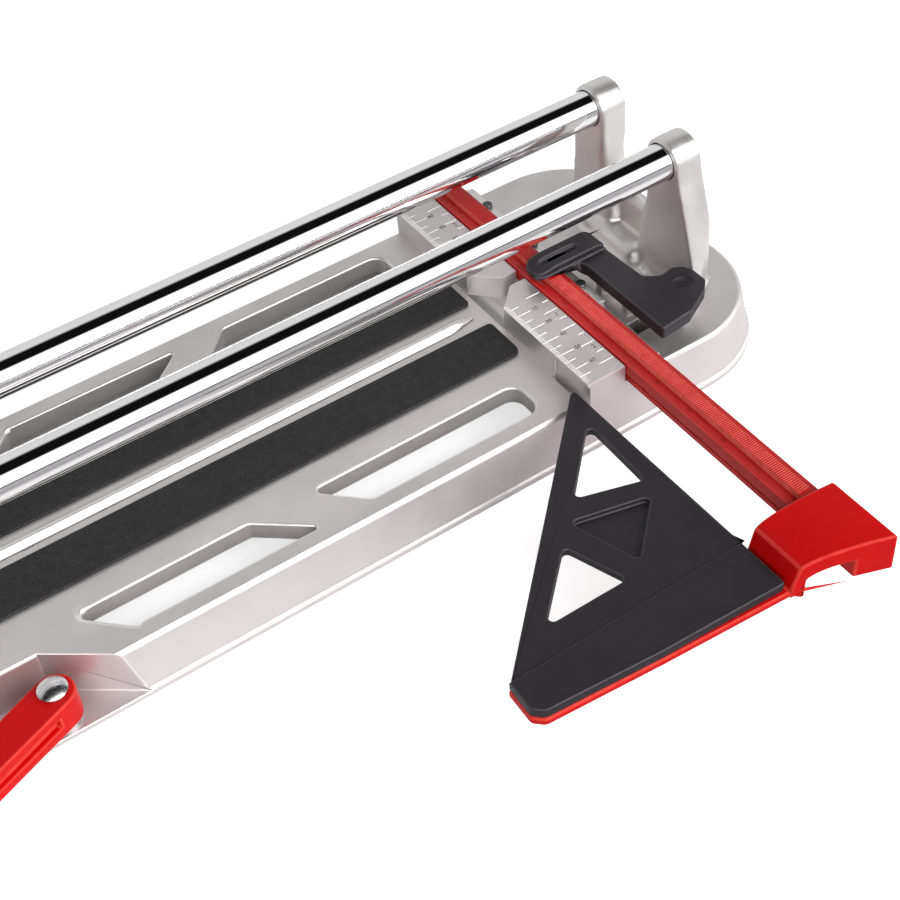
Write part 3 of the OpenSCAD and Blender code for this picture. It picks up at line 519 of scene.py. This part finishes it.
saddle("stop_saddle", 1)
saddle("park_saddle", -1)


def rod(side):
    """A guide rod as a smooth turned bar with chamfered ends."""
    node = "guide_rod_" + side
    low, high = (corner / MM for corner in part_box(node))
    centre = (low + high) / 2
    ring, chamfer, radius = 128, 0.8, (high.y - low.y) / 2
    stations = [(low.x, radius - chamfer), (low.x + chamfer, radius),
                (high.x - chamfer, radius), (high.x, radius - chamfer)]
    bm = bmesh.new()
    loops = []
    for x, r in stations:
        loops.append([bm.verts.new(Vector((x, centre.y + r * math.cos(t), centre.z
                                           + r * math.sin(t))) * MM)
                      for t in (2 * math.pi * i / ring for i in range(ring))])
    for a, b in zip(loops, loops[1:]):
        for i in range(ring):
            j = (i + 1) % ring
            bm.faces.new((a[i], a[j], b[j], b[i]))
    bm.faces.new(loops[0][::-1])
    bm.faces.new(loops[-1])
    bmesh.ops.recalc_face_normals(bm, faces=bm.faces)
    finish_mesh(node + "_shape", bm, MATERIALS["rod_chrome"], "base", (node,), 30)


rod("near")
rod("far")

# Bevel of the plain pieces, in millimetres.
SIMPLE = {
    "rod_end_screws": 0.4, "saddle_bolts": 0.3, "rubber_feet": 0.6, "feet_screws": 0.3,
    "bar_keeper": 0.4, "keeper_screws": 0.3, "lever_pin": 0.2, "arm_washers": 0.15,
    "carriage_block": 1.0, "slide_bushes": 0.4, "rod_wipers": 0.4, "carriage_cover": 0.8,
    "cover_screws": 0.2, "handle_pin": 0.3, "pin_clips": 0.2, "handle_lever": 0.9,
    "handle_tube": 0.3, "tube_screws": 0.3, "wheel_holder": 0.5, "holder_screw": 0.4,
    "wheel_axle": 0.3, "breaker_pin": 0.4, "breaker_foot": 0.8, "breaker_pads": 0.4,
    "cap_screws": 0.2, "square_screws": 0.2, "side_arm_near": 0.8, "side_arm_far": 0.8,
    "arm_pad_near": 0.6, "arm_pad_far": 0.6, "end_cap": 0.9, "set_square": 0.5,
}
for node, width in SIMPLE.items():
    refined(node, [(width, 2, None)])
refined("scale_bar", [(0.3, 2, None)], material=MATERIALS["bar_red"])
for node in ("lever_spring", "arm_rivets", "handle_grip", "grip_end_cap", "scoring_wheel"):
    refined(node, [], smooth=35.0)


DIMPLE_RADII = Vector((8.5, 6.0, 7.4)) * MM
DIMPLE_PLACE = Vector((363.0, -51.4, 50.8)) * MM
DIMPLE_TURN = math.radians(-25)


def off_dimple(x, y, z):
    return not (354 < x < 372 and y < -44 and z > 42.5)


def lock_lever():
    """The lever with rounded edges and a thumb dimple in its paddle."""
    ball = bmesh.new()
    bmesh.ops.create_uvsphere(ball, u_segments=48, v_segments=32, radius=1.0)
    bmesh.ops.scale(ball, vec=DIMPLE_RADII, verts=ball.verts)
    bmesh.ops.rotate(ball, cent=(0, 0, 0), matrix=Matrix.Rotation(DIMPLE_TURN, 3, "Z"),
                     verts=ball.verts)
    bmesh.ops.translate(ball, vec=DIMPLE_PLACE, verts=ball.verts)
    blank = mesh_object("lever_blank", clean("lock_lever"))
    dimple = mesh_object("dimple", ball)
    boolean(blank, dimple, "DIFFERENCE")
    solid = shaped(blank, dimple)
    bmesh.ops.remove_doubles(solid, verts=solid.verts, dist=WELD)
    bmesh.ops.dissolve_limit(solid, angle_limit=FLAT, verts=solid.verts, edges=solid.edges)
    bevel(solid, 0.7, 2, off_dimple, 30.0)
    finish_mesh("lock_lever_shape", solid, MATERIALS["black_plastic"], "lock",
                ("lock_lever",), 40)


lock_lever()


# ---------------------------------------------------------------- graduations
def prism(bm, x0, x1, y, z, width, height):
    """A fine raised rib along X with a three-sided section, in millimetres."""
    section = ((y - width / 2, z - 0.1), (y + width / 2, z - 0.1), (y, z + height))
    a, b = ([bm.verts.new(Vector((x, *p)) * MM) for p in section] for x in (x0, x1))
    bm.faces.new(a)
    bm.faces.new(b[::-1])
    for i in range(3):
        j = (i + 1) % 3
        bm.faces.new((a[j], a[i], b[i], b[j]))


def numeral(bm, text, x, y, z, size, depth=0.12, turn=0.0):
    """Raised digits centred on a point, read from the side of -Y."""
    curve = bpy.data.curves.new("digits", "FONT")
    curve.body = text
    curve.size = size * MM
    curve.extrude = depth * MM
    curve.align_x = "CENTER"
    curve.align_y = "CENTER"
    curve.resolution_u = 3
    obj = bpy.data.objects.new("digits", curve)
    bpy.context.scene.collection.objects.link(obj)
    bpy.context.view_layer.update()
    mesh = bpy.data.meshes.new_from_object(
        obj.evaluated_get(bpy.context.evaluated_depsgraph_get()))
    mesh.transform(Matrix.Translation(Vector((x, y, z)) * MM) @ Matrix.Rotation(turn, 4, "Z"))
    bm.from_mesh(mesh)
    bpy.data.objects.remove(obj)
    bpy.data.meshes.remove(mesh)


# Places on the fixed ruler, in millimetres.
RULER_TOP = 39.5
SCALE_ZERO = -1.8
QUARTER_INCH = 6.35
NOTCH = 13.0
MM_START, MM_DIGITS = 297.3, 307.6
INCH_START, INCH_QUARTER_START, INCH_END, INCH_DIGITS = 308.4, 312.0, 315.2, 312.9


def ruler_marks():
    """Cast graduations: millimetres along the -X edge, quarter inches along the bar."""
    ribs, digits = bmesh.new(), bmesh.new()
    for mm in range(-69, 69):
        y = SCALE_ZERO + mm
        if abs(y) < NOTCH:
            continue
        length = 8.0 if mm % 10 == 0 else 5.4 if mm % 5 == 0 else 2.2
        width = 0.34 if mm % 5 == 0 else 0.26
        prism(ribs, MM_START, MM_START + length, y, RULER_TOP, width, height=0.09)
        if mm % 10 == 0:
            numeral(digits, str(abs(mm)), MM_DIGITS, y, RULER_TOP, size=3.0)
    for quarter in range(-10, 11):
        y = SCALE_ZERO + quarter * QUARTER_INCH
        if abs(y) < NOTCH:
            continue
        start = INCH_START if quarter % 2 == 0 else INCH_QUARTER_START
        prism(ribs, start, INCH_END, y, RULER_TOP, width=0.36, height=0.12)
        if quarter % 4 == 0:
            numeral(digits, str(abs(quarter) // 4), INCH_DIGITS, y - 3.0, RULER_TOP, size=3.5)
    # The ribs take a lighter cast metal than the ruler: a painted highlight on the raised marks.
    finish_mesh("ruler_marks", ribs, MATERIALS["cast_bright"], "base")
    finish_mesh("ruler_digits", digits, MATERIALS["mark_ink"], "base")


ruler_marks()

# The sliding bar at rest, in millimetres.
BAR_X, BAR_TOP, BAR_Y0, BAR_Y1 = 316.35, 40.5, -176.0, 74.0


def bar_marks():
    """Centimetre marks on both flanges of the sliding bar, with every second one numbered."""
    width, height = 0.42, 0.1
    marks = bmesh.new()
    for k in range(1, 24):
        y = BAR_Y1 - 10.0 * k
        end = 3.6 if k % 5 == 0 else 2.4
        prism(marks, BAR_X + 0.5, BAR_X + end, y, BAR_TOP, width, height)
        prism(marks, BAR_X + 10.6, BAR_X + 13.2, y - 3, BAR_TOP, width, height)
        if k % 2 == 0:
            numeral(marks, str(k), BAR_X + 2.9, y - 2.6, BAR_TOP, size=2.1, depth=0.08,
                    turn=math.pi / 2)
    finish_mesh("bar_marks", marks, MATERIALS["bar_ink"], "scale")


bar_marks()


def rack():
    """Raised rail of the bar: fine cross ribs on its outer run, smooth on its inner run."""
    x0, x1 = (c.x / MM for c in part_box("bar_rack"))
    low, high, depth, rib = 38.5, 43.5, 0.5, 1.0
    first, last = BAR_Y0 + 8, -16.0
    valley, smooth_top = high - depth, high - 0.05
    outline = [(BAR_Y0, low), (BAR_Y0, valley)]
    for i in range(round((last - first) / rib)):
        y = first + i * rib
        outline += [(y, valley), (y + rib * 0.3, high), (y + rib * 0.7, high)]
    outline += [(last, valley), (last + 0.6, valley), (last + 1.0, smooth_top),
                (BAR_Y1, smooth_top), (BAR_Y1, low)]
    bm = bmesh.new()
    a, b = ([bm.verts.new(Vector((x, *p)) * MM) for p in outline] for x in (x0, x1))
    bm.faces.new(a)
    bm.faces.new(b[::-1])
    for i in range(len(outline)):
        j = (i + 1) % len(outline)
        bm.faces.new((a[j], a[i], b[i], b[j]))
    bmesh.ops.recalc_face_normals(bm, faces=bm.faces)
    # The rib tops of the outer run are marked and painted lighter: wear, and a painted highlight
    # where light falls on the tops.
    worn_and_highlit = bm.faces.layers.int.new("worn_and_highlit")
    for f in bm.faces:
        centre = f.calc_center_median() / MM
        if centre.z > high - depth / 2 and centre.y < last:
            f[worn_and_highlit] = 1
    finish_mesh("bar_rack_shape", bm, MATERIALS["rack_red"], "scale",
                ("bar_rack",), 20)


rack()


# ---------------------------------------------------------------- studio
FLOOR_REACH = 30
GREYS = ((0.93, 0.93, 0.93), (0.95, 0.95, 0.95))
NEAR_GREY = (0.30, 0.29, 0.32)


def make_floor():
    """White to the camera; for reflections darker on the near side of the tool."""
    material = bpy.data.materials.new("floor")
    n = Nodes(material)
    seen = n.tree.nodes.new("ShaderNodeLightPath").outputs["Is Camera Ray"]
    pale = n.mix(n.noise(3.0), *GREYS)
    split = n.put("ShaderNodeSeparateXYZ", vector=n.coords)
    near = n.spread(split.outputs["Y"], 0.0, 1.0, -0.23, -0.13)
    n.set(n.shader, "Base Color", n.mix(seen, n.mix(near, NEAR_GREY, pale), pale))
    n.set(n.shader, "Roughness", 0.75)
    n.set(n.shader, "Emission Color", (1.0, 1.0, 1.0, 1.0))
    n.set(n.shader, "Emission Strength", n.spread(seen, 0.0, 0.62))
    corners = [(sx * FLOOR_REACH, sy * FLOOR_REACH, 0)
               for sx, sy in ((-1, -1), (1, -1), (1, 1), (-1, 1))]
    mesh = bpy.data.meshes.new("floor")
    mesh.from_pydata(corners, [], [(0, 1, 2, 3)])
    mesh.materials.append(material)
    floor = bpy.data.objects.new("floor", mesh)
    bpy.context.scene.collection.objects.link(floor)


# Brightness of the surround by the angle about X, as parts of a turn from the -Y horizon
# down round through the floor, +Y and overhead: (angle, level).
SURROUND = ((0.0, 0.10), (0.05, 0.25), (0.45, 0.25), (0.52, 0.26), (0.655, 0.28), (0.69, 0.002),
            (0.818, 0.002), (0.848, 0.80), (0.90, 1.0), (0.965, 1.0), (0.975, 0.10))
STRENGTH = 2.7


def make_world():
    """Studio surround: white front, dark gap overhead, pale grey back wall, dim -X side."""
    world = bpy.data.worlds.new("studio")
    bpy.context.scene.world = world
    n = Nodes(world, "Background", "Generated")
    split = n.put("ShaderNodeSeparateXYZ", vector=n.coords)
    turn = n.combine("ARCTAN2", split.outputs["Z"], split.outputs["Y"])
    ramp = n.put("ShaderNodeValToRGB", fac=n.spread(turn, 0.0, 1.0, -math.pi, math.pi))
    elements = ramp.color_ramp.elements
    while len(elements) < len(SURROUND):
        elements.new(0.5)
    for element, (place, level) in zip(elements, SURROUND):
        element.position = place
        element.color = (level, level, level, 1.0)
    side = n.spread(split.outputs["X"], 0.28, 1.0, -0.97, -0.72)
    n.set(n.shader, "Color", ramp.outputs["Color"])
    n.set(n.shader, "Strength", n.times(side, STRENGTH))


def area_light(name, place, aim, size, power):
    data = bpy.data.lights.new(name, "AREA")
    data.shape = "RECTANGLE"
    data.size, data.size_y = size
    data.energy = power
    light = bpy.data.objects.new(name, data)
    bpy.context.scene.collection.objects.link(light)
    light.location = place
    light.rotation_mode = "QUATERNION"
    light.rotation_quaternion = (Vector(aim) - Vector(place)).to_track_quat("-Z", "Y")


make_floor()
make_world()
area_light("key", place=(0.9, -1.5, 1.3), aim=(0.25, 0.0, 0.0), size=(1.2, 0.8), power=14.0)
bpy.context.scene.view_settings.view_transform = "Standard"
